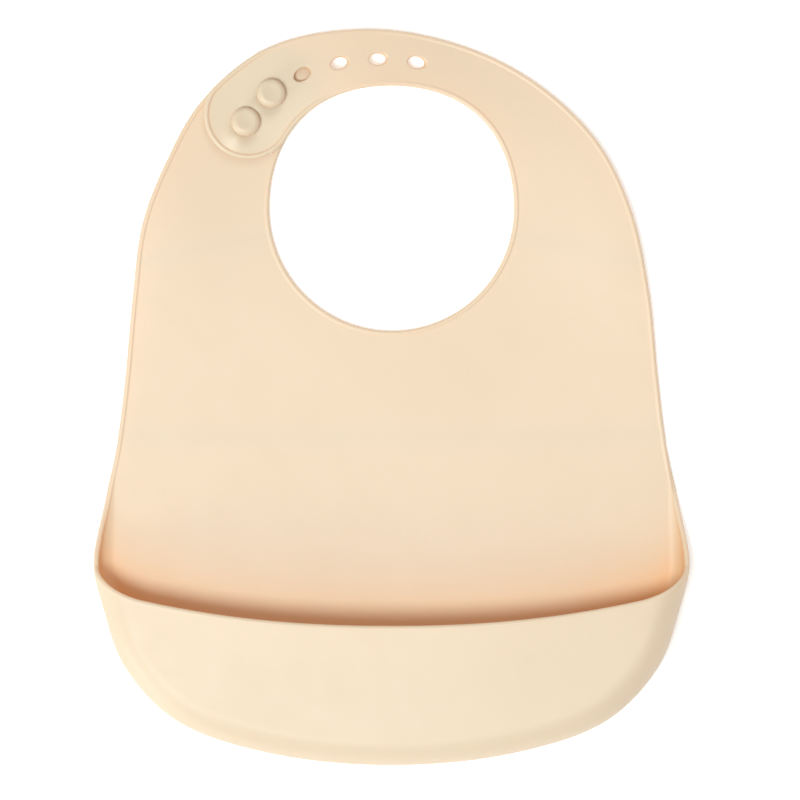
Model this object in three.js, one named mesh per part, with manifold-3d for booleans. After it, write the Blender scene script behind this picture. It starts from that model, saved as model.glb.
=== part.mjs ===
// A silicone baby bib: apron with a crumb-catching pocket, and a neck ring closed by two mushroom
// studs pushed through a row of holes. Millimetres, lying on its back on z = 0: +Y towards the
// wearer's neck, +Z out of the front face.
//
// The real bib is one moulding. Its members meet at living hinges, thin lines where the silicone
// bends: across the apron, at both shoulders and round the foot of the pocket.
import * as THREE from "three";
import { mergeVertices } from "three/addons/utils/BufferGeometryUtils.js";
import Module from "manifold-3d";

const wasm = await Module();
wasm.setup();
const { lerp, clamp, smoothstep, degToRad, radToDeg } = THREE.MathUtils;

// Driving dimensions.
const THICKNESS = 2;
const BEAD_THICKNESS = 2.6; // rounded rim along every free edge, barely proud of the sheet
const BEAD_WIDTH = 2.4;
const JOIN_GAP = 0.3; // left between neighbouring members
const BEAD_END_GAP = 1;

const NECK = { x: 0, y: 76.3, radius: 49.6, squareness: 0.035 };
const FOLD_Y = 3; // the apron folds here

const POCKET_TOP = -14; // the pocket's side walls start to rise here
const CORNER_Y = -68; // and reach the shoulder here
const WALL_CURVE = 2.6; // the side walls rise by this power of the way down
const POCKET_HEIGHT = 22; // floor to shoulder
const LIP_RISE = 3; // the middle of the lip stands this much higher
const LIP_MIDDLE_Y = -92.2;
const LIP_SAG = 2.7; // the lip is this much nearer the neck at LIP_SAG_X
const LIP_SAG_X = 55;
const LIP_TURN = { from: 100, width: 19.4, height: 9.3 }; // its ends turn up in a quarter ellipse
const SHOULDER_RADIUS = 11; // pocket wall into front face
const FLOOR_RADIUS = 8; // panel into pocket wall

const COLLAR_LIFT = 1.5; // the closed ring is a flat cone: its inner edge stands this high at the back
const LAYER_STEP = 3.5; // the hole strap lies this far above the stud strap
const TAB_ANGLE = 146.8; // centre of the hole strap's round end, degrees round the neck from +X
const STUD_STRAP_ANGLE = 133; // centre of the stud strap's round end
// Six oval holes in a row, slanting towards the right shoulder. The studs stretch theirs round.
const HOLE = { count: 6, along: 4.1, wide: 2.9, slant: 22, stretched: 3.7, place: 0.47 };
const HOLE_FIRST = 150.5; // degrees
const HOLE_PITCH = 13; // degrees to the second hole
const HOLE_SPREAD = 0.5; // each further step is this much more, as the ring narrows
const STUD = { count: 2, stem: 3, stemHeight: 4, head: 5.9, rim: 1.2, headHeight: 3.6, top: 4.1 };

// The outline, anticlockwise: the right half of the pocket, mirrored for the left half, then the
// chest and the ring, which the closed strap pulls a little to one side.
const POCKET_OUTLINE = [
  [50, -144], [87, -131], [108, -109], [116.4, -86], [120.4, -68], [116, -42], [111, -16],
];
const CHEST_OUTLINE = [
  [108, 8], [104.5, 42], [97, 76], [83, 104], [57.7, 128], [27, 143], [-11, 149],
  [-50, 141.5], [-77, 120], [-91, 96], [-101, 70], [-105, 40], [-108, 8],
];
const outline = new THREE.CatmullRomCurve3(
  [
    [0, -149],
    ...POCKET_OUTLINE,
    ...CHEST_OUTLINE,
    ...POCKET_OUTLINE.map(([x, y]) => [-x, y]).reverse(),
  ].map(([x, y]) => new THREE.Vector3(x, y, 0)),
  true,
  "centripetal",
);
outline.arcLengthDivisions = 1200;

const up = new THREE.Vector3(0, 0, 1);
const steps = (from, to, count) =>
  Array.from({ length: count + 1 }, (_, i) => lerp(from, to, i / count));

const silicone = new THREE.MeshStandardMaterial({ color: 0xf2dcc0, roughness: 0.55, metalness: 0 });
const bib = new THREE.Group();

function addMember(name, geometry) {
  const mesh = new THREE.Mesh(geometry, silicone.clone());
  mesh.name = name;
  bib.add(mesh);
  return mesh;
}

// ---- Solids from rows of points ------------------------------------------------------------------

function closedGeometry(points, faces) {
  const geometry = new THREE.BufferGeometry();
  const values = points.flatMap((p) => p.toArray());
  geometry.setAttribute("position", new THREE.Float32BufferAttribute(values, 3));
  geometry.setIndex(faces);
  return geometry;
}

function gridNormal(rows, i, j) {
  const lastRow = rows.length - 1;
  const lastPoint = rows[i].length - 1;
  const along = rows[Math.min(i + 1, lastRow)][j].clone().sub(rows[Math.max(i - 1, 0)][j]);
  const across = rows[i][Math.min(j + 1, lastPoint)].clone().sub(rows[i][Math.max(j - 1, 0)]);
  return along.cross(across).normalize();
}

// A sheet of one thickness about a grid of middle points.
function sheet(rows, thickness) {
  const height = rows.length;
  const width = rows[0].length;
  const face = (side) =>
    rows.flatMap((row, i) =>
      row.map((p, j) => p.clone().addScaledVector(gridNormal(rows, i, j), (side * thickness) / 2)),
    );
  const front = (i, j) => i * width + j;
  const back = (i, j) => height * width + front(i, j);
  const faces = [];
  const quad = (a, b, c, d) => faces.push(a, b, c, a, c, d);
  for (let i = 0; i < height - 1; i++)
    for (let j = 0; j < width - 1; j++) {
      quad(front(i, j), front(i + 1, j), front(i + 1, j + 1), front(i, j + 1));
      quad(back(i, j), back(i, j + 1), back(i + 1, j + 1), back(i + 1, j));
    }
  const wall = (i, j, k, l) => quad(front(i, j), back(i, j), back(k, l), front(k, l));
  for (let j = 0; j < width - 1; j++) {
    wall(0, j + 1, 0, j);
    wall(height - 1, j, height - 1, j + 1);
  }
  for (let i = 0; i < height - 1; i++) {
    wall(i, 0, i + 1, 0);
    wall(i + 1, width - 1, i, width - 1);
  }
  return closedGeometry([...face(1), ...face(-1)], faces);
}

// A bead of oval section along a path of { at, normal }.
function bead(path) {
  const sides = 6;
  const points = path.flatMap(({ at, normal }, i) => {
    const before = path[Math.max(i - 1, 0)].at;
    const after = path[Math.min(i + 1, path.length - 1)].at;
    const across = normal.clone().cross(after.clone().sub(before)).normalize();
    return steps(0, 2 * Math.PI, sides).slice(1).map((angle) =>
      at
        .clone()
        .addScaledVector(across, (BEAD_WIDTH / 2) * Math.cos(angle + Math.PI / sides))
        .addScaledVector(normal, (BEAD_THICKNESS / 2) * Math.sin(angle + Math.PI / sides)),
    );
  });
  const faces = [];
  for (let i = 0; i < path.length - 1; i++)
    for (let k = 0; k < sides; k++) {
      const a = i * sides + k;
      const b = i * sides + ((k + 1) % sides);
      faces.push(a, b, b + sides, a, b + sides, a + sides);
    }
  const last = (path.length - 1) * sides;
  for (let k = 1; k < sides - 1; k++) faces.push(0, k + 1, k, last, last + k, last + k + 1);
  return closedGeometry(points, faces);
}

function solidOf(geometry) {
  const bare = geometry.clone();
  bare.deleteAttribute("normal");
  bare.deleteAttribute("uv");
  const merged = mergeVertices(bare);
  return new wasm.Manifold(
    new wasm.Mesh({
      numProp: 3,
      vertProperties: merged.attributes.position.array,
      triVerts: new Uint32Array(merged.index.array),
    }),
  );
}

function geometryOf(solid) {
  const mesh = solid.getMesh();
  const geometry = new THREE.BufferGeometry();
  geometry.setAttribute("position", new THREE.Float32BufferAttribute(mesh.vertProperties, 3));
  geometry.setIndex(new THREE.Uint32BufferAttribute(mesh.triVerts, 1));
  return geometry;
}

// ---- The outline ---------------------------------------------------------------------------------

// A point on the outline, at a fraction of its length from the foot of the pocket, and the inward
// direction there. A negative fraction runs clockwise, up the left side.
function edgeAt(fraction) {
  const u = (fraction + 1) % 1;
  const tangent = outline.getTangentAt(u);
  return { at: outline.getPointAt(u), inward: new THREE.Vector3(-tangent.y, tangent.x, 0).normalize() };
}

// Solves rising(x) = target between low and high.
function solve(rising, target, low, high) {
  for (let i = 0; i < 40; i++) {
    const middle = (low + high) / 2;
    if (rising(middle) < target) low = middle;
    else high = middle;
  }
  return low;
}

const SIDE_END = 0.4; // fraction of the outline from the foot to past the shoulder
const rightAt = (y) => solve((u) => edgeAt(u).at.y, y, 0, SIDE_END);
const leftAt = (y) => -solve((u) => edgeAt(-u).at.y, y, 0, SIDE_END);
const inset = ({ at, inward }, distance) => at.clone().addScaledVector(inward, distance);
const SHEET_INSET = BEAD_WIDTH + JOIN_GAP;

function flatSheet(points) {
  const shape = new THREE.Shape(points.map((p) => new THREE.Vector2(p.x, p.y)));
  return new THREE.ExtrudeGeometry(shape, { depth: THICKNESS, bevelEnabled: false });
}

const flatBead = (points) =>
  bead(points.map((p) => ({ at: p.clone().setZ(BEAD_THICKNESS / 2), normal: up })));

// ---- Apron and pocket ----------------------------------------------------------------------------

const HALF = THICKNESS / 2;
const WALL_TOP = POCKET_HEIGHT - SHOULDER_RADIUS;
const lipTurn = (x) => {
  const t = clamp((Math.abs(x) - LIP_TURN.from) / LIP_TURN.width, 0, 1);
  return LIP_TURN.height * (1 - Math.sqrt(1 - t * t));
};
const lipY = (x) => LIP_MIDDLE_Y + LIP_SAG * (Math.abs(x) / LIP_SAG_X) ** 2.2 + lipTurn(x);
const lipHeight = (x) => POCKET_HEIGHT + LIP_RISE * (1 - clamp(Math.abs(x) / 108, 0, 1) ** 2);
const rise = (y) => clamp((POCKET_TOP - y) / (POCKET_TOP - CORNER_Y), 0, 1);
const floorRadius = (y) => HALF + (FLOOR_RADIUS - HALF) * smoothstep(rise(y), 0, 1);

// Middle line of the pocket's sheet above a place on the outline: from the edge of the floor, up the
// wall and over the shoulder to the front face and the lip, as far as it goes there.
function pocketLine(fraction) {
  const edge = edgeAt(fraction);
  const y = edge.at.y;
  const radius = floorRadius(y) - HALF;
  const place = (distance, z) => inset(edge, distance + HALF * rise(y)).setZ(z);
  const top = HALF + (WALL_TOP - HALF) * rise(y) ** WALL_CURVE;
  const line = [];
  for (const a of steps(0, Math.PI / 2, 6))
    line.push(place(radius * (1 - Math.sin(a)), Math.min(top, HALF + radius * (1 - Math.cos(a)))));
  if (top > line.at(-1).z) line.push(place(0, top));
  if (rise(y) < 1) return { edge, line, shoulder: line.length - 1 };
  const reach = SHOULDER_RADIUS - HALF;
  for (const a of steps(0, Math.PI / 2, 16).slice(1)) {
    const last = line.at(-1);
    const p = place(reach * (1 - Math.cos(a)), WALL_TOP + reach * Math.sin(a));
    const excess = p.y - lipY(p.x);
    if (excess > 0) {
      line.push(p.lerp(last, clamp(excess / (excess + lipY(last.x) - last.y), 0, 1)));
      return { edge, line, shoulder: line.length - 1 };
    }
    line.push(p);
  }
  const shoulder = line.length - 1;
  const start = line[shoulder];
  const lip = new THREE.Vector3(start.x, lipY(start.x), lipHeight(start.x) - HALF);
  for (const t of steps(0, 1, 6).slice(1)) line.push(start.clone().lerp(lip, t));
  return { edge, line, shoulder };
}

function lengthsAlong(line) {
  const lengths = [0];
  for (let i = 1; i < line.length; i++) lengths.push(lengths[i - 1] + line[i].distanceTo(line[i - 1]));
  return lengths;
}

// The points of a line between two lengths along it, evenly spaced.
function resample(line, from, to, count) {
  const lengths = lengthsAlong(line);
  return steps(from(lengths), to(lengths), count).map((length) => {
    const i = clamp(lengths.findIndex((sum) => sum >= length), 1, line.length - 1);
    const t = (length - lengths[i - 1]) / Math.max(lengths[i] - lengths[i - 1], 1e-6);
    return line[i - 1].clone().lerp(line[i], t);
  });
}

const LIP_CLEARANCE = BEAD_THICKNESS / 2 + JOIN_GAP;
const APRON_RIGHT = rightAt(FOLD_Y - JOIN_GAP / 2);
const APRON_LEFT = leftAt(FOLD_Y - JOIN_GAP / 2);
const WALL_START = rightAt(-34); // the side walls are sheets from here down
const BASE_END = rightAt(-128); // the side walls meet the base here
const FRONT_SIDE = 4; // length of the front face's short sides
const frontLength = (fraction) => {
  const { line, shoulder } = pocketLine(fraction);
  return line.at(-1).distanceTo(line[shoulder]);
};

// How far below the rim the sheet ends, along its line: more where the rim climbs steeply.
function rimClearance(fraction) {
  const reach = 0.0015;
  const lineLength = (u) => lengthsAlong(pocketLine(u).line).at(-1);
  const climb = lineLength(fraction + reach) - lineLength(fraction - reach);
  return LIP_CLEARANCE * clamp(Math.hypot(1, climb / (2 * reach * outline.getLength())), 1, 5);
}

const FRONT_END = solve((u) => -frontLength(u), -FRONT_SIDE, rightAt(-140), rightAt(-80));

function addLowerPanel() {
  const points = steps(APRON_LEFT, APRON_RIGHT, 90).map((u) => {
    const edge = edgeAt(u);
    const floor = floorRadius(edge.at.y) - HALF + HALF * rise(edge.at.y);
    const p = inset(edge, Math.max(SHEET_INSET, floor + 2 * JOIN_GAP));
    return p.setY(Math.min(p.y, FOLD_Y - JOIN_GAP / 2));
  });
  addMember("lower_panel", flatSheet(points));
}

function addPocketWall(name, from, to, count) {
  const rows = steps(from, to, count).map((u) => {
    const { line, shoulder } = pocketLine(u);
    const fromRim = rimClearance(u);
    const end = (lengths) => Math.min(lengths[shoulder] - JOIN_GAP / 2, lengths.at(-1) - fromRim);
    return resample(line, () => 0, end, 8);
  });
  addMember(name, sheet(rows, THICKNESS));
}

function addPocketFront() {
  const rows = steps(-FRONT_END, FRONT_END, 32).map((u) => {
    const { line, shoulder } = pocketLine(u);
    const start = (lengths) => lengths[shoulder] + JOIN_GAP / 2;
    return resample(line, start, (lengths) => lengths.at(-1) - LIP_CLEARANCE, 3);
  });
  addMember("pocket_front_wall", sheet(rows, THICKNESS));
}

// The rim's place above the outline: on the flat it is set in by half its width.
function rimAt(fraction) {
  const { edge, line } = pocketLine(fraction);
  const low = 1 - smoothstep(rise(edge.at.y), 0, 0.5);
  const at = line.at(-1).clone().addScaledVector(edge.inward, (BEAD_WIDTH / 2) * low);
  return { at: at.setZ(at.z + (BEAD_THICKNESS / 2 - HALF) * low), normal: up };
}

function addPocketRims() {
  const sideStart = FRONT_END + BEAD_END_GAP / 600;
  addMember("pocket_lip", bead(steps(-FRONT_END, FRONT_END, 40).map(rimAt)));
  addMember("apron_rim_right", bead(steps(sideStart, rightAt(FOLD_Y - BEAD_END_GAP / 2), 36).map(rimAt)));
  addMember("apron_rim_left", bead(steps(-sideStart, leftAt(FOLD_Y - BEAD_END_GAP / 2), 36).map(rimAt)));
}

// ---- Chest ---------------------------------------------------------------------------------------

const onNeck = (degrees, radius) =>
  new THREE.Vector3(
    NECK.x + radius * Math.cos(degToRad(degrees)),
    NECK.y + radius * Math.sin(degToRad(degrees)),
    0,
  );

function addChest() {
  const low = FOLD_Y + JOIN_GAP / 2;
  const high = NECK.y - JOIN_GAP / 2;
  const side = (place) => steps(low, high, 16).map((y) => inset(edgeAt(place(y)), SHEET_INSET).setY(y));
  const notch = steps(-0.2, -179.8, 40).map((a) => onNeck(a, NECK.radius + SHEET_INSET));
  addMember("chest_panel", flatSheet([...side(rightAt), ...notch, ...side(leftAt).reverse()]));
  const rim = (place) =>
    steps(place(FOLD_Y + BEAD_END_GAP / 2), place(NECK.y - BEAD_END_GAP / 2), 16).map((u) =>
      inset(edgeAt(u), BEAD_WIDTH / 2),
    );
  addMember("chest_rim_right", flatBead(rim(rightAt)));
  addMember("chest_rim_left", flatBead(rim(leftAt)));
  const neckEdge = steps(-179.4, -0.6, 36).map((a) => onNeck(a, NECK.radius + BEAD_WIDTH / 2));
  addMember("neck_rim", flatBead(neckEdge));
}

// ---- Neck ring -----------------------------------------------------------------------------------

const RING_START = rightAt(NECK.y);
const RING_END = 1 + leftAt(NECK.y);

function outerRadius(degrees) {
  const angleAt = (u) => {
    const { at } = edgeAt(u);
    return radToDeg(Math.atan2(at.y - NECK.y, at.x - NECK.x));
  };
  const { at } = edgeAt(solve(angleAt, degrees, RING_START, RING_END));
  return Math.hypot(at.x - NECK.x, at.y - NECK.y);
}

const innerRadius = (degrees) =>
  NECK.radius * (1 + NECK.squareness * Math.sin(degToRad(2 * degrees)) ** 2);
const lift = (degrees) =>
  COLLAR_LIFT * smoothstep(degrees, 0, 50) * (1 - smoothstep(degrees, 115, 160));
const ringWidth = (degrees) =>
  Math.hypot(outerRadius(degrees) - innerRadius(degrees), lift(degrees));

// The cone that the straps lie on, across from 0 at its inner edge to 1 at its outer edge.
function conePoint(degrees, across) {
  const p = onNeck(degrees, lerp(innerRadius(degrees), outerRadius(degrees), across));
  return p.setZ(THICKNESS / 2 + lift(degrees) * (1 - across));
}

function coneNormal(degrees, across) {
  const round = conePoint(degrees + 0.5, across).sub(conePoint(degrees - 0.5, across));
  const out = conePoint(degrees, across + 0.01).sub(conePoint(degrees, across - 0.01));
  return out.cross(round).normalize();
}

// The hole strap rises from the cone to its place above the stud strap.
const STUD_LAYER = () => 0;
const HOLE_LAYER = (degrees) => LAYER_STEP * smoothstep(degrees, 60, 112);

const RING_STEP = 5; // degrees

function strapPoint(degrees, across, layer) {
  const normal = coneNormal(degrees, across);
  const p = conePoint(degrees, across);
  return { at: p.setZ(p.z + layer(degrees) / normal.z), normal };
}

// A point beyond a strap's end: an advance along the ring there, and a distance out from its middle.
function endPoint(end, advance, out, layer) {
  const middle = (innerRadius(end) + outerRadius(end)) / 2;
  const p = onNeck(end, middle + out).add(onNeck(end + 90, advance)).sub(onNeck(0, 0));
  const degrees = radToDeg(Math.atan2(p.y - NECK.y, p.x - NECK.x));
  const distance = Math.hypot(p.x - NECK.x, p.y - NECK.y);
  const inner = innerRadius(degrees);
  return strapPoint(degrees, (distance - inner) / (outerRadius(degrees) - inner), layer);
}

// Rows across a strap from its root to its round end, set in from its edges.
function strapRows(root, end, layer, edgeInset) {
  const direction = Math.sign(end - root);
  const row = (degrees, halfWidth) => {
    const reach = halfWidth / ringWidth(degrees);
    return steps(0.5 - reach, 0.5 + reach, 5).map((s) => strapPoint(degrees, s, layer).at);
  };
  const body = steps(root, end, Math.round(Math.abs(end - root) / RING_STEP)).map((a) =>
    row(a, ringWidth(a) / 2 - edgeInset),
  );
  const radius = ringWidth(end) / 2 - edgeInset;
  const cap = steps(0, 80, 8).slice(1).map((a) => {
    const advance = direction * radius * Math.sin(degToRad(a));
    const half = radius * Math.cos(degToRad(a));
    return steps(-half, half, 5).map((out) => endPoint(end, advance, out, layer).at);
  });
  return [...body, ...cap];
}

// Path of a strap's rim: up its inner edge, round its end and back down its outer edge.
function strapRim(root, end, layer) {
  const direction = Math.sign(end - root);
  const set = BEAD_WIDTH / 2;
  const onEdge = (outer) => (a) => {
    const s = set / ringWidth(a);
    return strapPoint(a, outer ? 1 - s : s, layer);
  };
  const angles = steps(root, end, Math.round(Math.abs(end - root) / RING_STEP)).slice(0, -1);
  const radius = ringWidth(end) / 2 - set;
  const cap = steps(-90, 90, 14).map((a) => {
    const advance = direction * radius * Math.cos(degToRad(a));
    return endPoint(end, advance, radius * Math.sin(degToRad(a)), layer);
  });
  const path = [...angles.map(onEdge(false)), ...cap, ...angles.map(onEdge(true)).reverse()];
  const raise = (BEAD_THICKNESS - THICKNESS) / 2;
  return path.map(({ at, normal }) => ({ at: at.addScaledVector(normal, raise), normal }));
}

// Stands an object on a strap at the line of holes: its Y square to the strap, a distance above its
// middle surface and slanting clockwise round the neck, its X along the strap.
function standOnStrap(object, degrees, layer, height, slant) {
  const { at, normal } = strapPoint(degrees, HOLE.place, layer);
  const along = onNeck(degrees - 90, 1).sub(onNeck(0, 0)).projectOnPlane(normal).normalize();
  const turn = new THREE.Matrix4().makeBasis(along, normal, along.clone().cross(normal));
  object.quaternion.setFromRotationMatrix(turn);
  object.rotateZ(-degToRad(slant));
  object.position.copy(at.addScaledVector(normal, height));
  object.updateMatrixWorld();
}

const holeAngle = (i) => HOLE_FIRST - i * (HOLE_PITCH + (HOLE_SPREAD * (i - 1)) / 2);

function addHoleStrap() {
  const rows = strapRows(0.3, TAB_ANGLE, HOLE_LAYER, SHEET_INSET);
  let solid = solidOf(sheet(rows, THICKNESS));
  for (let i = 0; i < HOLE.count; i++) {
    const drill = new THREE.Mesh(new THREE.CylinderGeometry(1, 1, 16, 24));
    const open = i >= STUD.count;
    drill.scale.set(open ? HOLE.along : HOLE.stretched, 1, open ? HOLE.wide : HOLE.stretched);
    standOnStrap(drill, holeAngle(i), HOLE_LAYER, 0, open ? HOLE.slant : 0);
    solid = solid.subtract(solidOf(drill.geometry.applyMatrix4(drill.matrixWorld)));
  }
  addMember("hole_strap_band", geometryOf(solid));
  addMember("hole_strap_rim", bead(strapRim(0.6, TAB_ANGLE, HOLE_LAYER)));
}

function addStudStrap() {
  const rows = strapRows(179.7, STUD_STRAP_ANGLE, STUD_LAYER, SHEET_INSET);
  addMember("stud_strap_band", sheet(rows, THICKNESS));
  addMember("stud_strap_rim", bead(strapRim(179.4, STUD_STRAP_ANGLE, STUD_LAYER)));
}

function studGeometry() {
  const { stem, stemHeight, head, rim, headHeight, top } = STUD;
  const profile = [
    [0, 0], [stem, 0], [stem, stemHeight], [head - 0.4, stemHeight], [head, stemHeight + rim / 2],
    [head - 0.3, stemHeight + rim], [top, stemHeight + headHeight - 0.3],
    [top - 0.6, stemHeight + headHeight], [0, stemHeight + headHeight],
  ];
  return new THREE.LatheGeometry(profile.map(([x, y]) => new THREE.Vector2(x, y)), 20);
}

function addStuds() {
  for (let i = 0; i < STUD.count; i++) {
    const stud = addMember(`stud_${i + 1}`, studGeometry());
    standOnStrap(stud, holeAngle(i), STUD_LAYER, THICKNESS / 2 + JOIN_GAP, 0);
  }
}

addLowerPanel();
addPocketWall("pocket_base", -BASE_END, BASE_END, 24);
addPocketWall("pocket_wall_right", BASE_END + 0.0004, WALL_START, 30);
addPocketWall("pocket_wall_left", -BASE_END - 0.0004, -WALL_START, 30);
addPocketFront();
addPocketRims();
addChest();
addHoleStrap();
addStudStrap();
addStuds();

export default bib;
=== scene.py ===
"""Looks of a silicone baby bib, lying face up. Sizes are millimetres until a mesh is made."""
import math

import bmesh
import bpy
import numpy as np
from mathutils import Matrix, Vector
from mathutils.geometry import delaunay_2d_cdt


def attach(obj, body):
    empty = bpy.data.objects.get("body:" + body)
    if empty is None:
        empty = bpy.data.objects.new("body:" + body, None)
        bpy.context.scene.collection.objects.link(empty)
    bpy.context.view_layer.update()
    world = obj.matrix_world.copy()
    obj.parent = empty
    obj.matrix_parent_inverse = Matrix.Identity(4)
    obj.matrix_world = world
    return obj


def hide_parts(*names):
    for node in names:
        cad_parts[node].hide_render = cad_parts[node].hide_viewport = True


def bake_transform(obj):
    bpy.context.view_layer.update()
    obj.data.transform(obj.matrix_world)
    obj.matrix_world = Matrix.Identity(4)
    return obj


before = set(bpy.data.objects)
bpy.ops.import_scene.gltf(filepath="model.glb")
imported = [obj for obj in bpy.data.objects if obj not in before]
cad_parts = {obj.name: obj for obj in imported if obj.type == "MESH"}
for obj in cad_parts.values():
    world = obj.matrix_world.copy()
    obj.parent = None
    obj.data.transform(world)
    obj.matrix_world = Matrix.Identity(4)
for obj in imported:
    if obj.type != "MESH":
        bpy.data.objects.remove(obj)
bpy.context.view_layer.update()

MM = 0.001

# Driving dimensions. The outline, the pocket, the ring and the places of the holes are the CAD
# model's. The rims, the step between the straps, the holes' size and slant, the studs and the
# unevenness of the sheets are the visual model's own.
SHEET = 2.0
BEAD_RELIEF = 0.3  # the rounded rim along every free edge is this much thicker
TAB_RELIEF = 0.5  # and this much round the hole strap's end
BEAD_WIDTH = 2.4

NECK = np.array([0.0, 76.3])
NECK_RADIUS = 49.6
NECK_SQUARENESS = 0.035

POCKET_TOP = -14.0
CORNER_Y = -68.0
WALL_CURVE = 2.6
POCKET_HEIGHT = 22.0
LIP_RISE = 3.0
LIP_MIDDLE_Y = -92.2
LIP_SAG = 2.7
LIP_SAG_X = 55.0
LIP_TURN_FROM = 100.0  # the lip's ends turn up into the side edges, in a quarter of an ellipse
LIP_TURN_WIDTH = 19.4
LIP_TURN_HEIGHT = 9.3
SHOULDER_RADIUS = 11.0
FLOOR_RADIUS = 8.0

COLLAR_LIFT = 1.5  # the ring is a flat cone: its inner edge stands this high at the top
LAYER_STEP = 2.9  # from the stud strap to the hole strap on top of it
TAB_ANGLE = 146.8
STUD_STRAP_ANGLE = 133.0
HOLE_COUNT = 6
HOLE_FIRST = 150.5
HOLE_PITCH = 13.0
HOLE_SPREAD = 0.5
HOLE_PLACE = 0.47  # of the way across the ring
HOLE_THROAT = (3.5, 2.35)  # half length along the strap and half width
HOLE_FLARE = 0.36  # how much wider its mouth is, as a share of the throat
HOLE_SLANT = 24.0  # degrees, towards the right shoulder
STRETCHED_HOLE = 3.2  # radius of the holes that the studs fill
HOLE_EDGE_DEPTH = 0.9  # of half the sheet, over which a hole's edge is rounded
STUD_COUNT = 2
STUD_LEAN = 12.0  # degrees, pulled by the hole strap
STUD_HEAD = 5.9  # radius
STUD_TOP = 3.7  # radius of the flat top inside the dome
STUD_RIM = 0.7  # radius of the head's rounded underside
STUD_HEIGHT = 3.5  # of the head
STUD_STEM = 2.9  # radius
STUD_FOOT = 4.4  # radius where the stem is sunk in the strap
STUD_CLEARANCE = 1.7  # from the hole strap's front to the head
BULGE = 1.3  # the hole strap bulges up behind each stud
BULGE_RADIUS = 3.0
BULGE_PLACE = 6.0  # from the stud's middle
CURL = 3.4  # the chest's sides curl up this much at the edge
CURL_PLACE = (106.0, 80.0)  # distance from the middle line, and y
CURL_SIZE = (30.0, 48.0)
RIPPLE = 0.18  # height of the sheets' unevenness

POCKET_OUTLINE = [
    (50, -144), (87, -131), (108, -109), (116.4, -86), (120.4, -68), (116, -42), (111, -16),
]
CHEST_OUTLINE = [
    (108, 8), (104.5, 42), (97, 76), (83, 104), (57.7, 128), (27, 143), (-11, 149),
    (-50, 141.5), (-77, 120), (-91, 96), (-101, 70), (-105, 40), (-108, 8),
]

HALF = SHEET / 2

STRIP = 16.0  # width of the strips of fine mesh along the outline
NECK_STRIP = 12.0  # and along the neck
SHOULDER_ANGLE = -12.0  # the seam between chest and straps, degrees round the neck
APRON_SPACING = 4.0  # between mesh points inside the flat sheets
CHEST_SPACING = 3.0

# Distances from a free edge at which the bead's profile is sampled.
BEAD_SHARES = [0, 0.02, 0.08, 0.18, 0.32, 0.5, 0.66, 0.78, 0.87, 0.94, 1.02, 1.2, 1.5]
BEAD_STEPS = BEAD_WIDTH * np.array(BEAD_SHARES)


def smoothstep(x, low=0.0, high=1.0):
    t = np.clip((x - low) / (high - low), 0, 1)
    return t * t * (3 - 2 * t)


# ---- The outline -------------------------------------------------------------------------------


def centripetal_loop(points, per_span=80):
    """A closed centripetal Catmull-Rom curve through the points."""
    p = np.array(points, float)
    t = np.linspace(0, 1, per_span, endpoint=False)[:, None]
    spans = []
    for i in range(len(p)):
        p0, p1, p2, p3 = (p[(i + k) % len(p)] for k in (-1, 0, 1, 2))
        d0, d1, d2 = (np.linalg.norm(b - a) ** 0.5 for a, b in ((p0, p1), (p1, p2), (p2, p3)))
        m1 = d1 * ((p1 - p0) / d0 - (p2 - p0) / (d0 + d1) + (p2 - p1) / d1)
        m2 = d1 * ((p2 - p1) / d1 - (p3 - p1) / (d1 + d2) + (p3 - p2) / d2)
        cubic = 2 * p1 - 2 * p2 + m1 + m2
        square = -3 * p1 + 3 * p2 - 2 * m1 - m2
        spans.append(p1 + m1 * t + square * t**2 + cubic * t**3)
    return np.vstack(spans)


def mirrored(points):
    return [(-x, y) for x, y in reversed(points)]


EDGE = centripetal_loop([(0, -149), *POCKET_OUTLINE, *CHEST_OUTLINE, *mirrored(POCKET_OUTLINE)])
EDGE = np.vstack([EDGE, EDGE[:1]])
EDGE_LENGTHS = np.concatenate([[0], np.cumsum(np.linalg.norm(np.diff(EDGE, axis=0), axis=1))])
PERIMETER = EDGE_LENGTHS[-1]
EDGE_U = EDGE_LENGTHS / PERIMETER


def edge_at(u):
    """Places on the outline at fractions of its length from the foot, anticlockwise."""
    w = np.mod(u, 1.0)
    return np.stack([np.interp(w, EDGE_U, EDGE[:, k]) for k in (0, 1)], axis=-1)


def inward_at(u):
    step = 1.5 / PERIMETER
    d = edge_at(u + step) - edge_at(u - step)
    n = np.stack([-d[..., 1], d[..., 0]], axis=-1)
    return n / np.linalg.norm(n, axis=-1, keepdims=True)


def right_fraction(y):
    side = EDGE_U < 0.4
    return float(np.interp(y, EDGE[side, 1], EDGE_U[side]))


def polar_table():
    """Polar angle round the neck, radius and fraction along the outline, from below the right
    shoulder over the top to below the left one."""
    low = right_fraction(20)
    u = np.linspace(low, 1 - low, 1500)
    d = edge_at(u) - NECK
    angle = np.degrees(np.arctan2(d[:, 1], d[:, 0]))
    return np.where(angle < -90, angle + 360, angle), np.linalg.norm(d, axis=1), u


POLAR_ANGLE, POLAR_RADIUS, POLAR_U = polar_table()


# ---- Meshes ------------------------------------------------------------------------------------


def bead_offsets(d, low, relief=BEAD_RELIEF):
    """Front and back offsets from the sheet's middle at a distance from the free edge. On the flat
    (low 1) the bead is flush with the back; on the pocket's lip (low 0) it stands out on both sides."""
    shift = low * relief / 2
    height = (HALF + relief / 2) * np.sqrt(np.clip(1 - (2 * d / BEAD_WIDTH - 1) ** 2, 0, 1))
    outer = d < BEAD_WIDTH / 2
    front = shift + height
    back = shift - height
    front = np.where(outer, front, np.maximum(front, HALF))
    back = np.where(outer, back, np.minimum(back, -HALF))
    return front, back


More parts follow.
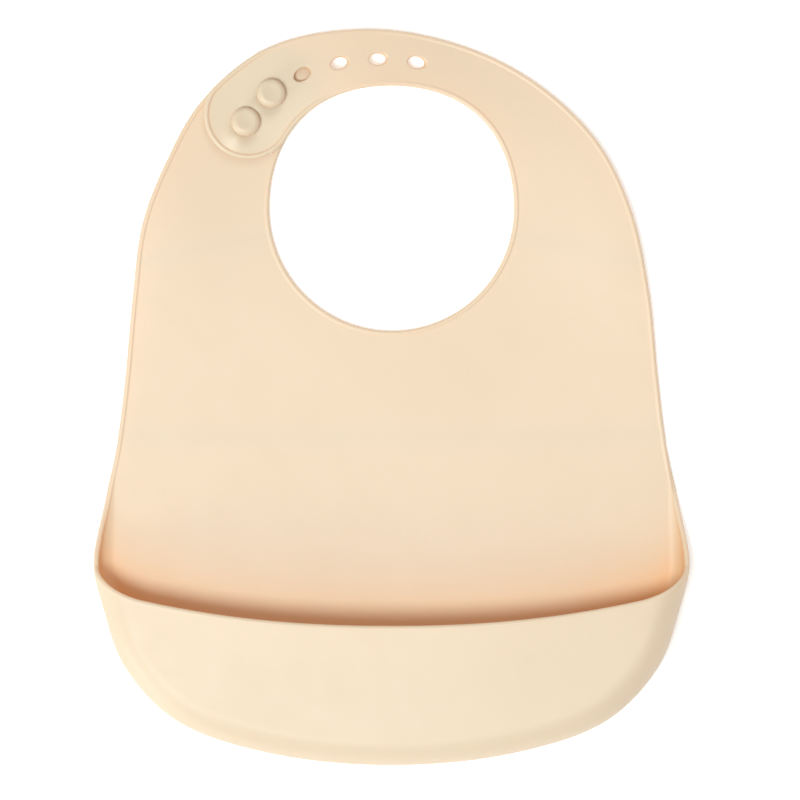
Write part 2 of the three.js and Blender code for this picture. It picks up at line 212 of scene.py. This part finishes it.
def ripple(x, y):
    """Slow, shallow unevenness of the soft sheet as it lies, never below the surface under it, and
    the curl of the chest's sides."""
    a = np.sin(x / 31 + 1.3) * np.sin(y / 37 + 0.4)
    b = np.sin(x / 17 - y / 23 + 2.1)
    u = (np.abs(x) - CURL_PLACE[0]) / CURL_SIZE[0]
    v = (y - CURL_PLACE[1]) / CURL_SIZE[1]
    return RIPPLE * (2 + a + b * 0.6) + CURL * np.exp(-(u * u + v * v) / 2)


class Builder:
    """Collects vertices and faces of one piece."""

    def __init__(self):
        self.mesh = bmesh.new()

    def vertex(self, p):
        return self.mesh.verts.new((p[0] * MM, p[1] * MM, p[2] * MM))

    def face(self, corners):
        unique = []
        for v in corners:
            if v not in unique:
                unique.append(v)
        if len(unique) > 2:
            try:
                self.mesh.faces.new(unique)
            except ValueError:
                pass

    def grid(self, front, back):
        """Front and back surfaces whose column 0 meets in the free edge, with walls at both ends."""
        rows, columns = front.shape[:2]
        f = [[self.vertex(front[i, j]) for j in range(columns)] for i in range(rows)]
        b = [[f[i][0], *(self.vertex(back[i, j]) for j in range(1, columns))] for i in range(rows)]
        for i in range(rows - 1):
            for j in range(columns - 1):
                self.face([f[i][j], f[i + 1][j], f[i + 1][j + 1], f[i][j + 1]])
                self.face([b[i][j], b[i][j + 1], b[i + 1][j + 1], b[i + 1][j]])
        for i in (0, rows - 1):
            for j in range(columns - 1):
                self.face([f[i][j], f[i][j + 1], b[i][j + 1], b[i][j]])

    def flat(self, border, spacing, closed_spans):
        """Flat sheet inside a border, front and back, with walls along the spans (from, to)."""
        inside = fill_points(border, spacing)
        points = [Vector(p) for p in np.vstack([border, inside])]
        ring = list(range(len(border)))
        edges = [(i, (i + 1) % len(ring)) for i in ring]
        verts, _, faces, *_ = delaunay_2d_cdt(points, edges, [ring], 1, 1e-6)
        xy = np.array([(v.x, v.y) for v in verts])
        z = ripple(xy[:, 0], xy[:, 1])
        front = [self.vertex((x, y, SHEET + h)) for (x, y), h in zip(xy, z)]
        back = [self.vertex((x, y, h)) for (x, y), h in zip(xy, z)]
        for face in faces:
            self.face([front[i] for i in face])
            self.face([back[i] for i in reversed(face)])
        for low, high in closed_spans:
            for i in range(low, high):
                j, k = i % len(ring), (i + 1) % len(ring)
                self.face([front[j], front[k], back[k], back[j]])

    def finish(self, name, sharp=50.0):
        bm = self.mesh
        bmesh.ops.remove_doubles(bm, verts=bm.verts, dist=2e-6)
        bmesh.ops.dissolve_degenerate(bm, edges=bm.edges, dist=1e-7)
        bmesh.ops.recalc_face_normals(bm, faces=bm.faces)
        for face in bm.faces:
            face.smooth = True
        for e in bm.edges:
            if len(e.link_faces) == 2 and e.calc_face_angle(0) > math.radians(sharp):
                e.smooth = False
        data = bpy.data.meshes.new(name)
        bm.to_mesh(data)
        bm.free()
        piece = bpy.data.objects.new(name, data)
        bpy.context.scene.collection.objects.link(piece)
        return piece


def fill_points(border, spacing):
    """A staggered lattice of points inside a border, clear of it."""
    low, high = border.min(0), border.max(0)
    rows = []
    for k, y in enumerate(np.arange(low[1], high[1], spacing * 0.866)):
        x = np.arange(low[0] + (k % 2) * spacing / 2, high[0], spacing)
        rows.append(np.stack([x, np.full(len(x), y)], axis=1))
    points = np.vstack(rows)
    start, end = border, np.roll(border, -1, axis=0)
    inside = np.zeros(len(points), bool)
    near = np.full(len(points), 1e9)
    for a, b in zip(start, end):
        crosses = (a[1] > points[:, 1]) != (b[1] > points[:, 1])
        if b[1] != a[1]:
            at = a[0] + (points[:, 1] - a[1]) * (b[0] - a[0]) / (b[1] - a[1])
            inside ^= crosses & (points[:, 0] < at)
        share = np.clip((points - a) @ (b - a) / max((b - a) @ (b - a), 1e-12), 0, 1)
        near = np.minimum(near, np.linalg.norm(points - a - share[:, None] * (b - a), axis=1))
    return points[inside & (near > spacing * 0.5)]


def grid_normals(mid):
    along = np.gradient(mid, axis=0)
    across = np.gradient(mid, axis=1)
    n = np.cross(along, across)
    return n / np.maximum(np.linalg.norm(n, axis=2, keepdims=True), 1e-9)


def lengths_along(line):
    return np.concatenate([[0], np.cumsum(np.linalg.norm(np.diff(line, axis=0), axis=1))])


def resample(line, distances):
    lengths = lengths_along(line)
    return np.stack([np.interp(distances, lengths, line[:, k]) for k in range(3)], axis=1)


def spread(total, scale, count):
    """Distances along a line: the bead's steps, stretched by scale, then evenly to the end."""
    start = BEAD_STEPS * scale
    return np.concatenate([start, np.linspace(start[-1], total, count + 1)[1:]])


# ---- Apron and pocket --------------------------------------------------------------------------

WALL_TOP = POCKET_HEIGHT - SHOULDER_RADIUS
FOLD_SEAM = right_fraction(POCKET_TOP)


def lip_y(x):
    t = min(max(abs(x) - LIP_TURN_FROM, 0) / LIP_TURN_WIDTH, 1)
    turn = LIP_TURN_HEIGHT * (1 - math.sqrt(1 - t * t))
    return LIP_MIDDLE_Y + LIP_SAG * (abs(x) / LIP_SAG_X) ** 2.2 + turn


def lip_height(x):
    return POCKET_HEIGHT + LIP_RISE * (1 - min(abs(x) / 108, 1) ** 2)


def pocket_line(u):
    """The sheet's middle above a place on the outline, from the rim's free edge inwards, and how
    flat the rim lies there."""
    at, inward = edge_at(u), inward_at(u)
    rise = float(np.clip((POCKET_TOP - at[1]) / (POCKET_TOP - CORNER_Y), 0, 1))
    radius = (FLOOR_RADIUS - HALF) * smoothstep(rise)
    top = HALF + (WALL_TOP - HALF) * rise**WALL_CURVE
    arc_height = min(radius, top - HALF)

    def place(inset, z):
        x, y = at + inward * (inset + HALF * rise)
        return [x, y, z]

    line = [place(STRIP - HALF * rise, HALF)]
    for a in np.linspace(0, math.pi / 2, 12):
        line.append(place(radius * (1 - math.sin(a)), HALF + arc_height * (1 - math.cos(a))))
    line.append(place(0, top))
    if rise == 1:
        line += over_shoulder(place)
    return np.array(line)[::-1], 1 - smoothstep(rise, 0, 0.5)


def over_shoulder(place):
    """From the top of the wall over the shoulder to the lip, as far as the lip lets it."""
    reach = SHOULDER_RADIUS - HALF
    points = []
    last = place(0, WALL_TOP)
    for a in np.linspace(0, math.pi / 2, 20)[1:]:
        p = place(reach * (1 - math.cos(a)), WALL_TOP + reach * math.sin(a))
        excess = p[1] - lip_y(p[0])
        if excess > 0:
            share = excess / (excess + max(lip_y(last[0]) - last[1], 1e-6))
            points.append([a + (b - a) * share for a, b in zip(p, last)])
            return points
        points.append(p)
        last = p
    lip = [last[0], lip_y(last[0]), lip_height(last[0]) - HALF]
    for t in np.linspace(0, 1, 12)[1:]:
        points.append([a + (b - a) * t for a, b in zip(last, lip)])
    return points


def pocket_stations():
    """Fractions along the outline, closer together where the rim climbs over the shoulder."""
    corner = abs(right_fraction(CORNER_Y))
    before, after = corner - 0.018, corner + 0.006
    right = np.concatenate(
        [
            np.linspace(0, before, 110, endpoint=False),
            np.linspace(before, after, 60, endpoint=False),
            np.linspace(after, FOLD_SEAM, 50),
        ]
    )
    return np.concatenate([-right[:0:-1], right])


def rim_obliquity(u, totals):
    """How much longer than the distance from the rim a row is, evened out between rows."""
    climb = np.gradient(totals, u * PERIMETER)
    oblique = np.clip(np.hypot(1, climb), 1, 4)
    reach = 12
    window = np.hanning(2 * reach + 3)[1:-1]
    return np.convolve(np.pad(oblique, reach, "edge"), window / window.sum(), "valid")


def distances_from_rim(mid):
    """Nearest distance from each place on the grid to the rim, its first column."""
    rim = mid[:, 0]
    window = 70  # rows either way among which the nearest stretch of rim is sought
    result = np.empty(mid.shape[:2])
    for i, row in enumerate(mid):
        start = rim[max(i - window, 0) : i + window]
        span = np.diff(start, axis=0)
        offset = row[:, None] - start[None, :-1]
        share = np.sum(offset * span, axis=2) / np.maximum(np.sum(span**2, axis=1), 1e-12)
        foot = offset - np.clip(share, 0, 1)[..., None] * span
        result[i] = np.linalg.norm(foot, axis=2).min(axis=1)
    return result


def build_apron():
    u = pocket_stations()
    lines, lows = zip(*(pocket_line(a) for a in u))
    totals = np.array([lengths_along(line)[-1] for line in lines])
    oblique = rim_obliquity(u, totals)
    count = 64
    mid = np.array([resample(l, spread(t, o, count)) for l, t, o in zip(lines, totals, oblique)])
    front, back = bead_offsets(distances_from_rim(mid), np.array(lows)[:, None])
    normals = grid_normals(mid)
    lift = ripple(mid[..., 0], mid[..., 1])[..., None] * np.array([0, 0, 1])
    surfaces = [mid + lift + normals * offset[..., None] for offset in (front, back)]
    builder = Builder()
    builder.grid(*surfaces)
    border = mid[:, -1, :2]
    seam = np.linspace(border[-1], border[0], 60)[1:-1]
    border = np.vstack([border, seam])
    builder.flat(border, APRON_SPACING, [(len(u) - 1, len(border))])
    return builder.finish("apron_with_pocket")


# ---- Chest -------------------------------------------------------------------------------------


def shoulder_fraction(angle):
    return float(np.interp(angle, POLAR_ANGLE, POLAR_U))


def side_strip(u, towards_neck):
    """Middle surface of a strip along the outline, with rows turning from square to the outline at
    its foot to pointing at the neck's centre at the shoulder."""
    at, inward = edge_at(u), inward_at(u)
    radial = NECK - at
    radial /= np.linalg.norm(radial, axis=1, keepdims=True)
    share = towards_neck[:, None]
    rows = inward * (1 - share) + radial * share
    rows /= np.linalg.norm(rows, axis=1, keepdims=True)
    oblique = 1 / np.sum(rows * inward, axis=1)
    distances = np.array([spread(STRIP * o, o, 10) for o in oblique])
    xy = at[:, None] + rows[:, None] * distances[..., None]
    return flat_strip(xy, distances / oblique[:, None])


def neck_strip(angles):
    distances = spread(NECK_STRIP, 1, 8)
    a = np.radians(angles)
    out = np.stack([np.cos(a), np.sin(a)], axis=1)
    xy = NECK + out[:, None] * (NECK_RADIUS + distances)[None, :, None]
    return flat_strip(xy, np.broadcast_to(distances, xy.shape[:2]))


def flat_strip(xy, distances):
    front, back = bead_offsets(distances, 1.0)
    z = HALF + ripple(xy[..., 0], xy[..., 1])
    return np.dstack([xy, z + front]), np.dstack([xy, z + back])


def build_chest():
    right = np.linspace(FOLD_SEAM, shoulder_fraction(SHOULDER_ANGLE), 60)
    left = np.linspace(shoulder_fraction(180 - SHOULDER_ANGLE), 1 - FOLD_SEAM, 60)
    turn = smoothstep(np.linspace(0, 1, 60))
    angles = np.linspace(180 - SHOULDER_ANGLE, 360 + SHOULDER_ANGLE, 90)
    strips = [side_strip(right, turn), side_strip(left, turn[::-1]), neck_strip(angles)]
    builder = Builder()
    for front, back in strips:
        builder.grid(front, back)
    right_side, left_side, neck = (front[:, -1, :2] for front, _ in strips)
    foot = np.linspace(left_side[-1], right_side[0], 60)[1:-1]
    right_shoulder = np.linspace(right_side[-1], neck[-1], 8)[1:-1]
    left_shoulder = np.linspace(neck[0], left_side[0], 8)[1:-1]
    border = np.vstack([foot, right_side, right_shoulder, neck[::-1], left_shoulder, left_side])
    a = len(foot) + len(right_side)
    b = a + len(right_shoulder)
    c = b + len(neck)
    spans = [(-1, len(foot)), (a - 1, b), (c - 1, c + len(left_shoulder))]
    builder.flat(border, CHEST_SPACING, spans)
    return builder.finish("chest_sheet")


# ---- Neck ring ---------------------------------------------------------------------------------


def outer_radius(degrees):
    return np.interp(degrees, POLAR_ANGLE, POLAR_RADIUS)


def inner_radius(degrees):
    upper = np.where((degrees > 0) & (degrees < 180), 1.0, 0.0)
    return NECK_RADIUS * (1 + upper * NECK_SQUARENESS * np.sin(np.radians(2 * degrees)) ** 2)


def collar_lift(degrees):
    return COLLAR_LIFT * smoothstep(degrees, 0, 50) * (1 - smoothstep(degrees, 115, 160))


def ring_width(degrees):
    return np.hypot(outer_radius(degrees) - inner_radius(degrees), collar_lift(degrees))


def cone(degrees, across):
    """The surface that the straps lie on, from 0 at the ring's inner edge to 1 at its outer edge."""
    radius = inner_radius(degrees) * (1 - across) + outer_radius(degrees) * across
    a = np.radians(degrees)
    z = HALF + collar_lift(degrees) * (1 - across)
    return np.stack([NECK[0] + radius * np.cos(a), NECK[1] + radius * np.sin(a), z], axis=-1)


def surface_normal(surface, degrees, across):
    around = surface(degrees + 0.4, across) - surface(degrees - 0.4, across)
    out = surface(degrees, across + 0.01) - surface(degrees, across - 0.01)
    n = np.cross(out, around)
    return n / np.linalg.norm(n, axis=-1, keepdims=True)


def hole_angle(i):
    """Degrees round the neck; each step is a little more, as the ring narrows."""
    return HOLE_FIRST - i * (HOLE_PITCH + HOLE_SPREAD * (i - 1) / 2)


def clockwise(degrees):
    a = math.radians(degrees)
    return np.array([math.sin(a), -math.cos(a), 0])


def bulge(p):
    """Height that the pull of the strap gives it behind each stud."""
    height = np.zeros(p.shape[:-1])
    for i in range(STUD_COUNT):
        angle = hole_angle(i)
        centre = cone(angle, HOLE_PLACE) - clockwise(angle) * BULGE_PLACE
        d = np.linalg.norm((p - centre)[..., :2], axis=-1)
        height += BULGE * np.exp(-((d / BULGE_RADIUS) ** 2) / 2)
    return height


def hole_layer(degrees, across):
    """The hole strap's surface: on the cone at the right shoulder, above the stud strap at the left."""
    p = cone(degrees, across)
    n = surface_normal(cone, degrees, across)
    lift = LAYER_STEP * smoothstep(degrees, 60, 112) / n[..., 2] + bulge(p)
    return p + lift[..., None] * np.array([0, 0, 1])


def strap_stations(root, end):
    """Stations round a strap's free edge: up the inner edge, round the end, back down the outer
    edge. Each is (kind, angle)."""
    body = np.linspace(root, end, int(abs(end - root) / 1.4))
    fan = np.linspace(-90, 90, 42)[1:-1]
    return (
        [("inner", a) for a in body]
        + [("fan", a) for a in fan]
        + [("outer", a) for a in body[::-1]]
    )


def strap_line(kind, angle, end, direction, share):
    """(degrees, across) at shares from the free edge (0) to the strap's spine (1)."""
    if kind != "fan":
        edge = 0.0 if kind == "inner" else 1.0
        return np.full(len(share), angle), edge + (0.5 - edge) * share
    reach = (1 - share) * ring_width(end) / 2
    a, e = math.radians(angle), math.radians(end)
    out = (inner_radius(end) + outer_radius(end)) / 2 + reach * math.sin(a)
    advance = direction * reach * math.cos(a)
    x = out * math.cos(e) - advance * math.sin(e)
    y = out * math.sin(e) + advance * math.cos(e)
    degrees = np.degrees(np.arctan2(y, x))
    inner, outer = inner_radius(degrees), outer_radius(degrees)
    return degrees, (np.hypot(x, y) - inner) / (outer - inner)


def strap_obliquity(kind, angle):
    """How much longer a row across the strap is than the distance square to its edge."""
    if kind == "fan":
        return 1.0
    radius = outer_radius if kind == "outer" else inner_radius
    slope = (radius(angle + 1) - radius(angle - 1)) / math.radians(2) / radius(angle)
    return float(np.hypot(1, slope))


def rim_relief(degrees):
    """Relief of the hole strap's bead: it fades out towards the holes and is strongest at the tab."""
    shoulder = BEAD_RELIEF * (1 - smoothstep(degrees, 60, 110))
    return shoulder + TAB_RELIEF * smoothstep(degrees, 112, 140)


def build_strap(name, surface, root, end, relief=lambda degrees: BEAD_RELIEF):
    """A strap on a surface, with a bead along its edge whose relief depends on the angle."""
    direction = 1 if end > root else -1
    front_rows, back_rows = [], []
    for kind, angle in strap_stations(root, end):
        oblique = strap_obliquity(kind, angle)
        half_width = float(ring_width(end if kind == "fan" else angle)) / 2
        distances = spread(half_width, oblique, 12)
        degrees, across = strap_line(kind, angle, end, direction, distances / half_width)
        p = surface(degrees, across)
        n = surface_normal(surface, degrees, across)
        height = relief(end if kind == "fan" else angle)
        front, back = bead_offsets(distances / oblique, 1.0, height)
        p[:, 2] += ripple(p[:, 0], p[:, 1])
        front_rows.append(p + n * front[:, None])
        back_rows.append(p + n * back[:, None])
    builder = Builder()
    builder.grid(np.array(front_rows), np.array(back_rows))
    return builder.finish(name)


def revolve(name, profile, segments=64):
    """A closed solid turned from a profile of (radius, height) that starts and ends on the axis."""
    bm = bmesh.new()
    rings = []
    for r, z in profile:
        if r < 1e-6:
            rings.append([bm.verts.new((0, 0, z * MM))])
            continue
        turn = [2 * math.pi * k / segments for k in range(segments)]
        places = [(r * math.cos(a) * MM, r * math.sin(a) * MM, z * MM) for a in turn]
        rings.append([bm.verts.new(place) for place in places])
    for low, high in zip(rings, rings[1:]):
        for k in range(segments):
            m = (k + 1) % segments
            corners = [ring[n % len(ring)] for ring, n in ((low, k), (low, m), (high, m), (high, k))]
            unique = list(dict.fromkeys(corners))
            if len(unique) > 2:
                bm.faces.new(unique)
    bmesh.ops.recalc_face_normals(bm, faces=bm.faces)
    for face in bm.faces:
        face.smooth = True
    data = bpy.data.meshes.new(name)
    bm.to_mesh(data)
    bm.free()
    piece = bpy.data.objects.new(name, data)
    bpy.context.scene.collection.objects.link(piece)
    return piece


def stand_on_strap(piece, surface, degrees, lean=0, slant=0, scale=(1, 1)):
    """Stands a turned piece at the line of holes, on a strap's middle surface. It is stretched along
    and across the strap, leans clockwise round the neck, and its layers slide that way by slant."""
    p = surface(degrees, HOLE_PLACE)
    n = surface_normal(surface, degrees, HOLE_PLACE)
    along = clockwise(degrees)
    along -= n * np.dot(along, n)
    along /= np.linalg.norm(along)
    c, s = math.cos(math.radians(lean)), math.sin(math.radians(lean))
    along, axis = along * c - n * s, n * c + along * s
    slide = along * math.tan(math.radians(slant))
    columns = [along * scale[0], np.cross(axis, along) * scale[1], axis + slide]
    place = p + np.array([0, 0, ripple(p[0], p[1])])
    rows = [[*(column[k] for column in columns), place[k] * MM] for k in range(3)]
    piece.data.transform(Matrix([*rows, [0, 0, 0, 1]]))


def hole_cutter(i):
    """A punch of radius 1 with flared ends, which leaves the hole's edges rounded."""
    reach = 6
    depth = HOLE_EDGE_DEPTH * HALF
    mouth = HALF + 0.06  # just outside the sheet, so that the flare cuts through its face
    curve = np.linspace(0, math.pi / 2, 9)
    flare = [(1 + HOLE_FLARE * (1 - math.sin(a)), depth * (1 - math.cos(a)) - mouth) for a in curve]
    outline = [(1 + HOLE_FLARE, -reach), *flare]
    profile = [(0, -reach), *outline, *((r, -z) for r, z in reversed(outline)), (0, reach)]
    cutter = revolve(f"punch_{i}", profile, 48)
    filled = i < STUD_COUNT
    scale = (STRETCHED_HOLE, STRETCHED_HOLE) if filled else HOLE_THROAT
    slant = 0 if filled else HOLE_SLANT
    stand_on_strap(cutter, hole_layer, hole_angle(i), slant=slant, scale=scale)
    return cutter


def cut(piece, cutters):
    for cutter in cutters:
        modifier = piece.modifiers.new("hole", "BOOLEAN")
        modifier.object = cutter
        modifier.operation = "DIFFERENCE"
        modifier.solver = "EXACT"
    evened = piece.modifiers.new("evened", "WEIGHTED_NORMAL")
    evened.keep_sharp = True
    depsgraph = bpy.context.evaluated_depsgraph_get()
    data = bpy.data.meshes.new_from_object(piece.evaluated_get(depsgraph))
    piece.modifiers.clear()
    piece.data = data
    for cutter in cutters:
        bpy.data.objects.remove(cutter)


def build_hole_strap():
    strap = build_strap("hole_strap_sheet", hole_layer, SHOULDER_ANGLE, TAB_ANGLE, rim_relief)
    cut(strap, [hole_cutter(i) for i in range(HOLE_COUNT)])
    return strap


def build_stud(i):
    """A mushroom stud: a stem on a flared foot, and a soft dome with a shallow dish in its top."""
    under = LAYER_STEP + HALF + STUD_CLEARANCE
    crown = under + STUD_HEIGHT
    sunk = HALF - 0.6
    profile = [(0, sunk), (STUD_FOOT, sunk), (3.6, HALF + 0.4), (STUD_STEM, HALF + 1.4)]
    profile += [(STUD_STEM, under - 0.3), (3.2, under), (STUD_HEAD - 0.6, under)]
    for a in np.linspace(-60, 0, 5)[:-1]:
        c, s = math.cos(math.radians(a)), math.sin(math.radians(a))
        profile.append((STUD_HEAD - STUD_RIM + STUD_RIM * c, under + STUD_RIM + STUD_RIM * s))
    for a in np.linspace(0, 90, 14):
        c, s = math.cos(math.radians(a)), math.sin(math.radians(a))
        radius = STUD_TOP + (STUD_HEAD - STUD_TOP) * c
        profile.append((radius, under + STUD_RIM + (STUD_HEIGHT - STUD_RIM) * s))
    profile += [(STUD_TOP - 0.7, crown - 0.06), (2.2, crown - 0.2), (0, crown - 0.25)]
    stud = revolve(f"stud_{i + 1}_piece", profile)
    stand_on_strap(stud, cone, hole_angle(i), lean=STUD_LEAN)
    return stud


# ---- Material ----------------------------------------------------------------------------------

BODY_COLOUR_LOW = (0.790, 0.748, 0.530, 1)
BODY_COLOUR_HIGH = (0.810, 0.772, 0.554, 1)
GLOW_COLOUR = (1.0, 0.46, 0.13, 1)
TRANSLUCENCY = 0.26
# Painted shade: the warm, darker colour that crevices and enclosed places are given in place of their
# shade
PAINTED_SHADE_COLOUR = (0.90, 0.60, 0.26, 1)
PAINTED_SHADE_REACH = 0.04  # metres
PAINTED_SHADE_RAMP = (-1.2, 1.2)  # share of the body's colour in a closed crevice and in the open


def silicone():
    """Matte peach silicone: a dull gloss over a slightly translucent body, faint mottling and a fine
    moulded grain."""
    material = bpy.data.materials.new("peach_silicone")
    material.use_nodes = True
    nodes, links = material.node_tree.nodes, material.node_tree.links
    shader = nodes["Principled BSDF"]
    shader.inputs["IOR"].default_value = 1.55
    shader.inputs["Specular IOR Level"].default_value = 1.0
    shader.inputs["Sheen Weight"].default_value = 0.1
    shader.inputs["Sheen Roughness"].default_value = 0.5
    place = nodes.new("ShaderNodeTexCoord")

    def noise(scale, detail):
        node = nodes.new("ShaderNodeTexNoise")
        node.inputs["Scale"].default_value = scale
        node.inputs["Detail"].default_value = detail
        links.new(place.outputs["Object"], node.inputs["Vector"])
        return node.outputs["Fac"]

    def mapped(value, low, high):
        node = nodes.new("ShaderNodeMapRange")
        node.inputs["To Min"].default_value = low
        node.inputs["To Max"].default_value = high
        links.new(value, node.inputs["Value"])
        return node.outputs["Result"]

    def bump(height, strength, distance, below=None):
        node = nodes.new("ShaderNodeBump")
        node.inputs["Strength"].default_value = strength
        node.inputs["Distance"].default_value = distance
        links.new(height, node.inputs["Height"])
        if below:
            links.new(below, node.inputs["Normal"])
        return node.outputs["Normal"]

    ramp = nodes.new("ShaderNodeValToRGB")
    ramp.color_ramp.elements[0].position = 0.3
    ramp.color_ramp.elements[0].color = BODY_COLOUR_LOW
    ramp.color_ramp.elements[1].position = 0.7
    ramp.color_ramp.elements[1].color = BODY_COLOUR_HIGH
    links.new(noise(14, 2), ramp.inputs["Fac"])

    # Painted shade: a warm, darker tint stands in for light scattered in the silicone and for the shade
    # in its crevices; the more enclosed the surface is, the warmer and darker. Only the piece's own
    # shape counts, so the floor and the other pieces leave no mark.
    openness = nodes.new("ShaderNodeAmbientOcclusion")
    openness.samples = 4
    openness.only_local = True
    openness.inputs["Distance"].default_value = PAINTED_SHADE_REACH
    painted_shade = nodes.new("ShaderNodeMix")
    painted_shade.data_type = "RGBA"
    painted_shade.inputs["A"].default_value = PAINTED_SHADE_COLOUR
    links.new(mapped(openness.outputs["AO"], *PAINTED_SHADE_RAMP), painted_shade.inputs["Factor"])
    links.new(ramp.outputs["Color"], painted_shade.inputs["B"])
    links.new(painted_shade.outputs["Result"], shader.inputs["Base Color"])
    links.new(mapped(noise(120, 3), 0.46, 0.56), shader.inputs["Roughness"])
    normal = bump(noise(55, 1), 0.25, 0.0006, bump(noise(1800, 2), 0.12, 0.0001))
    links.new(normal, shader.inputs["Normal"])

    glow = nodes.new("ShaderNodeBsdfTranslucent")
    glow.inputs["Color"].default_value = GLOW_COLOUR
    mix = nodes.new("ShaderNodeMixShader")
    mix.inputs["Fac"].default_value = TRANSLUCENCY
    links.new(shader.outputs["BSDF"], mix.inputs[1])
    links.new(glow.outputs["BSDF"], mix.inputs[2])
    links.new(mix.outputs["Shader"], nodes["Material Output"].inputs["Surface"])
    return material


# ---- Stage -------------------------------------------------------------------------------------

FLOOR_DROP = 0.0002  # metres, so that the floor and the back don't lie in one plane
FLOOR_GLOW = 0.3
SKY = 0.46
FRAME_WIDTH = 0.3248  # metres seen across the picture
CAMERA_HEIGHT = 2.5
SENSOR = 36  # millimetres


def add_floor():
    """A pale floor that glows faintly, like a light table."""
    bpy.ops.mesh.primitive_plane_add(size=6, location=(0, 0, -FLOOR_DROP))
    floor = bpy.context.object
    floor.name = "floor"
    material = bpy.data.materials.new("floor_white")
    material.use_nodes = True
    shader = material.node_tree.nodes["Principled BSDF"]
    shader.inputs["Base Color"].default_value = (0.95, 0.95, 0.95, 1)
    shader.inputs["Roughness"].default_value = 0.9
    shader.inputs["Emission Color"].default_value = (1, 1, 1, 1)
    shader.inputs["Emission Strength"].default_value = FLOOR_GLOW
    floor.data.materials.append(material)


def add_light(name, place, size, power):
    light = bpy.data.lights.new(name, "AREA")
    light.shape = "DISK"
    light.size = size
    light.energy = power
    lamp = bpy.data.objects.new(name, light)
    lamp.location = place
    lamp.rotation_euler = (-Vector(place)).to_track_quat("-Z", "Y").to_euler()
    bpy.context.scene.collection.objects.link(lamp)


def add_studio():
    world = bpy.data.worlds.new("studio")
    world.use_nodes = True
    background = world.node_tree.nodes["Background"]
    background.inputs["Color"].default_value = (1, 1, 1, 1)
    background.inputs["Strength"].default_value = SKY
    bpy.context.scene.world = world
    add_light("key", (-0.8, -0.8, 3.1), 1.2, 69)
    add_light("side", (-2.2, -1.6, 0.8), 0.9, 22)
    add_light("back", (0.5, 2.0, 1.8), 1.0, 9)
    bpy.context.scene.view_settings.view_transform = "Standard"


def add_camera():
    """Straight above the bib, with a long lens."""
    data = bpy.data.cameras.new("camera")
    data.sensor_width = SENSOR
    data.lens = SENSOR * CAMERA_HEIGHT / FRAME_WIDTH
    data.clip_end = 20
    camera = bpy.data.objects.new("camera", data)
    camera.location = (0.0034, -0.0014, CAMERA_HEIGHT)
    bpy.context.scene.collection.objects.link(camera)
    bpy.context.scene.camera = camera


# ---- The bib -----------------------------------------------------------------------------------


def dress(piece, material, *nodes):
    piece.data.materials.clear()
    piece.data.materials.append(material)
    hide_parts(*nodes)


def add_bib():
    material = silicone()
    apron = build_apron()
    dress(
        apron, material, "lower_panel", "pocket_base", "pocket_wall_left", "pocket_wall_right",
        "pocket_front_wall", "pocket_lip", "apron_rim_left", "apron_rim_right",
    )
    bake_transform(apron)
    chest = build_chest()
    dress(chest, material, "chest_panel", "chest_rim_left", "chest_rim_right", "neck_rim")
    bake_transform(chest)
    strap = build_hole_strap()
    dress(strap, material, "hole_strap_band", "hole_strap_rim")
    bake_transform(strap)
    under = build_strap("stud_strap_sheet", cone, 180 - SHOULDER_ANGLE, STUD_STRAP_ANGLE)
    dress(under, material, "stud_strap_band", "stud_strap_rim")
    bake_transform(under)
    for i in range(STUD_COUNT):
        stud = build_stud(i)
        dress(stud, material, f"stud_{i + 1}")
        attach(stud, "stud_strap")


add_camera()
add_floor()
add_studio()
add_bib()
